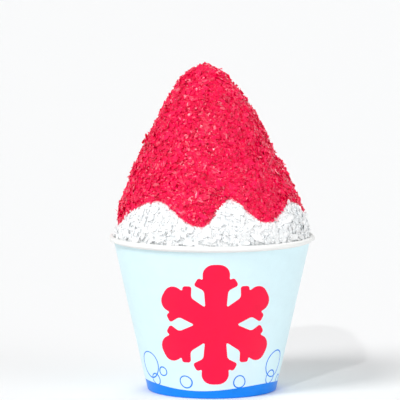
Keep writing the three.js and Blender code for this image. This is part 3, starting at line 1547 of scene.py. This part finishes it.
def strewn_mesh(
    shapes: Sequence[tuple[Array, Array]],
    places: Array,
    turns: Array,
    kind: Array,
    soak: Array,
    shade: Array,
) -> bpy.types.Mesh:
    """Joins many copies of a few shapes into one mesh.

    Args:
        shapes: Vertices and faces of each shape.
        places: Where each copy goes.
        turns: Each copy's turn and size, as a matrix.
        kind: Which shape each copy has.
        soak: How soaked each copy is.
        shade: How deep in colour each copy is.

    Returns:
        The joined mesh, with the soak and shade of each copy on its vertices.
    """
    verts, faces, wet, dark = [], [], [], []
    total = 0
    for number, (points, corners) in enumerate(shapes):
        mine = kind == number
        copies = int(mine.sum())
        placed = np.einsum("nij,vj->nvi", turns[mine], points) + places[mine][:, None, :]
        starts = total + len(points) * np.arange(copies)
        verts.append(placed.reshape(-1, 3))
        faces.append((corners[None] + starts[:, None, None]).reshape(-1, corners.shape[1]))
        wet.append(np.repeat(soak[mine], len(points)))
        dark.append(np.repeat(shade[mine], len(points)))
        total += copies * len(points)
    mesh = bpy.data.meshes.new("strewn")
    mesh.from_pydata(np.concatenate(verts), [], np.concatenate(faces))
    for name, values in ((SOAK, wet), (SHADE, dark)):
        attribute = mesh.attributes.new(name, "FLOAT", "POINT")
        attribute.data.foreach_set("value", np.concatenate(values).astype(np.float32))
    return mesh


@dataclass(frozen=True)
class Slivers(LooseIce):
    """Thin curled slivers that the blade shaved off, with ragged, narrowing ends."""

    cells: int = 3
    curl: float = 0.35
    twist: float = 0.25
    raggedness: float = 0.07
    end_width: tuple[float, float] = (0.15, 0.75)
    middle_width: tuple[float, float] = (0.8, 1.15)
    end_from: float = 0.4
    end_thinning: float = 0.6
    thickness_range: tuple[float, float] = (0.8, 1.2)

    def shape(self, draw: np.random.Generator) -> BMesh:
        """A strip, tapered, curled and twisted, that is thinner towards its ends.

        Args:
            draw: Where its random numbers come from.

        Returns:
            The strip's bmesh.
        """
        shape = bmesh.new()
        bmesh.ops.create_grid(shape, x_segments=self.cells, y_segments=1, size=0.5)
        twist = draw.normal(0, self.twist)
        for vert in shape.verts:
            along, across = vert.co.x, vert.co.y
            width = draw.uniform(*(self.end_width if abs(along) > self.end_from else self.middle_width))
            vert.co.x = self.length * (along + draw.normal(0, self.raggedness))
            vert.co.y = self.width * (across * width + draw.normal(0, self.raggedness))
            vert.co.z = self.length * (self.curl * along * along + twist * along * across)
        made = bmesh.ops.extrude_face_region(shape, geom=shape.faces[:])["geom"]
        for item in made:
            if isinstance(item, BMVert):
                thinning = 1 - self.end_thinning * min(abs(2 * item.co.x / self.length), 1)
                item.co.z += self.thickness * thinning * draw.uniform(*self.thickness_range)
        return shape


@dataclass(frozen=True)
class Crumbs(LooseIce):
    """Small crushed grains."""

    unevenness: tuple[float, float] = (0.7, 1.25)

    def shape(self, draw: np.random.Generator) -> BMesh:
        """A knobbly grain, longer than it is wide and thick.

        Args:
            draw: Where its random numbers come from.

        Returns:
            The grain's bmesh.
        """
        shape = bmesh.new()
        bmesh.ops.create_icosphere(shape, subdivisions=1, radius=0.5)
        for vert in shape.verts:
            vert.co *= draw.uniform(*self.unevenness)
        bmesh.ops.scale(shape, vec=(self.length, self.width, self.thickness), verts=shape.verts)
        return shape


LOOSE_ICE = (
    Slivers(
        name="shavings",
        count=7400,
        seed=11,
        length=3.1 * MM,
        width=1.6 * MM,
        thickness=0.28 * MM,
        tilt=0.3,
    ),
    Crumbs(
        name="crumbs",
        count=12500,
        seed=23,
        length=1.4 * MM,
        width=1.1 * MM,
        thickness=0.7 * MM,
        tilt=0.6,
    ),
)


# ---- Studio ----


@dataclass(frozen=True)
class Lamp:
    """A far, soft lamp: which way it lies, its strength, and how wide it looks in degrees."""

    name: str
    towards: tuple[float, float, float]
    strength: float
    width: float


@dataclass(frozen=True)
class Studio:
    """A plain pale floor, soft light all round, and a camera with a long lens."""

    middle: Vector
    aside: Vector = Vector((-5.9 * MM, 0, 13.3 * MM))
    view_width: float = 198 * MM
    distance: float = 1.6
    elevation: float = math.radians(6)
    sensor: float = 36.0
    clip: tuple[float, float] = (0.05, 100.0)
    floor_side: float = 60.0
    sky: float = 0.46
    horizon: float = 0.973
    haze: float = 0.3
    lamps: tuple[Lamp, ...] = (
        Lamp("key", (-0.6, -0.6, 0.9), 1.46, 20.0),
        Lamp("fill", (0.8, -0.6, 0.35), 0.6, 40.0),
        Lamp("back", (0.35, 0.9, 0.6), 0.55, 30.0),
        Lamp("sparkle", (-0.25, -0.8, 0.6), 0.55, 1.5),
    )

    def camera(self) -> Piece:
        """The camera, made the scene's own.

        Returns:
            The camera.
        """
        data = bpy.data.cameras.new("camera")
        data.sensor_width = self.sensor
        data.lens = self.sensor * self.distance / self.view_width
        data.clip_start, data.clip_end = self.clip
        camera = bpy.data.objects.new("camera", data)
        back = around(0.0, math.cos(self.elevation), math.sin(self.elevation))
        camera.location = self.middle + self.aside + back * self.distance
        camera.rotation_euler = (-back).to_track_quat("-Z", "Y").to_euler()
        bpy.context.collection.objects.link(camera)
        bpy.context.scene.camera = camera
        return camera

    def floor(self) -> Piece:
        """The floor that the object stands on, which isn't part of it.

        Returns:
            The floor.
        """
        shape = bmesh.new()
        bmesh.ops.create_grid(shape, x_segments=1, y_segments=1, size=self.floor_side / 2)
        mesh = bpy.data.meshes.new("floor")
        shape.to_mesh(mesh)
        shape.free()
        mesh.materials.append(FloorFinish().material())
        floor = bpy.data.objects.new("floor", mesh)
        bpy.context.collection.objects.link(floor)
        return floor

    def light(self) -> None:
        """The sky, which pales to the floor's white at the horizon, and the soft lamps."""
        world = bpy.data.worlds.new("sky")
        world.use_nodes = True
        wiring = Wiring(world.node_tree)
        heading = wiring.node("ShaderNodeTexCoord").outputs["Generated"]
        parts = wiring.feed(wiring.node("ShaderNodeSeparateXYZ"), Vector=heading)
        glow = wiring.ramp(parts.outputs["Z"], 0.0, self.haze, self.horizon, self.sky)
        background = world.node_tree.nodes["Background"]
        wiring.feed(background, Color=(1.0, 1.0, 1.0, 1.0), Strength=glow)
        bpy.context.scene.world = world
        for lamp in self.lamps:
            data = bpy.data.lights.new(lamp.name, "SUN")
            data.energy, data.angle = lamp.strength, math.radians(lamp.width)
            light = bpy.data.objects.new(lamp.name, data)
            light.rotation_euler = Vector(lamp.towards).to_track_quat("Z", "Y").to_euler()
            bpy.context.collection.objects.link(light)

    def build(self) -> None:
        """The camera, the floor and the light, with colours shown as they are."""
        self.camera()
        self.floor()
        self.light()
        bpy.context.scene.view_settings.view_transform = "Standard"


def main() -> None:
    """Builds the studio, the cup, its print and the ice, and reports each piece."""
    Studio((CAD_BOX[0] + CAD_BOX[1]) / 2).build()
    cup = PaperCup.from_frame()
    heap = Heap(HeapShape.on(cup), cup)
    makers: Iterable[Callable[[], object]] = (
        cup.wall,
        cup.base,
        BubblePrint(cup).build,
        CrystalPrint(cup).build,
        heap.plain_core,
        heap.soaked_core,
    )
    for make in makers:
        make()
    for loose in LOOSE_ICE:
        loose.strew(heap)


if __name__ == "__main__":
    main()
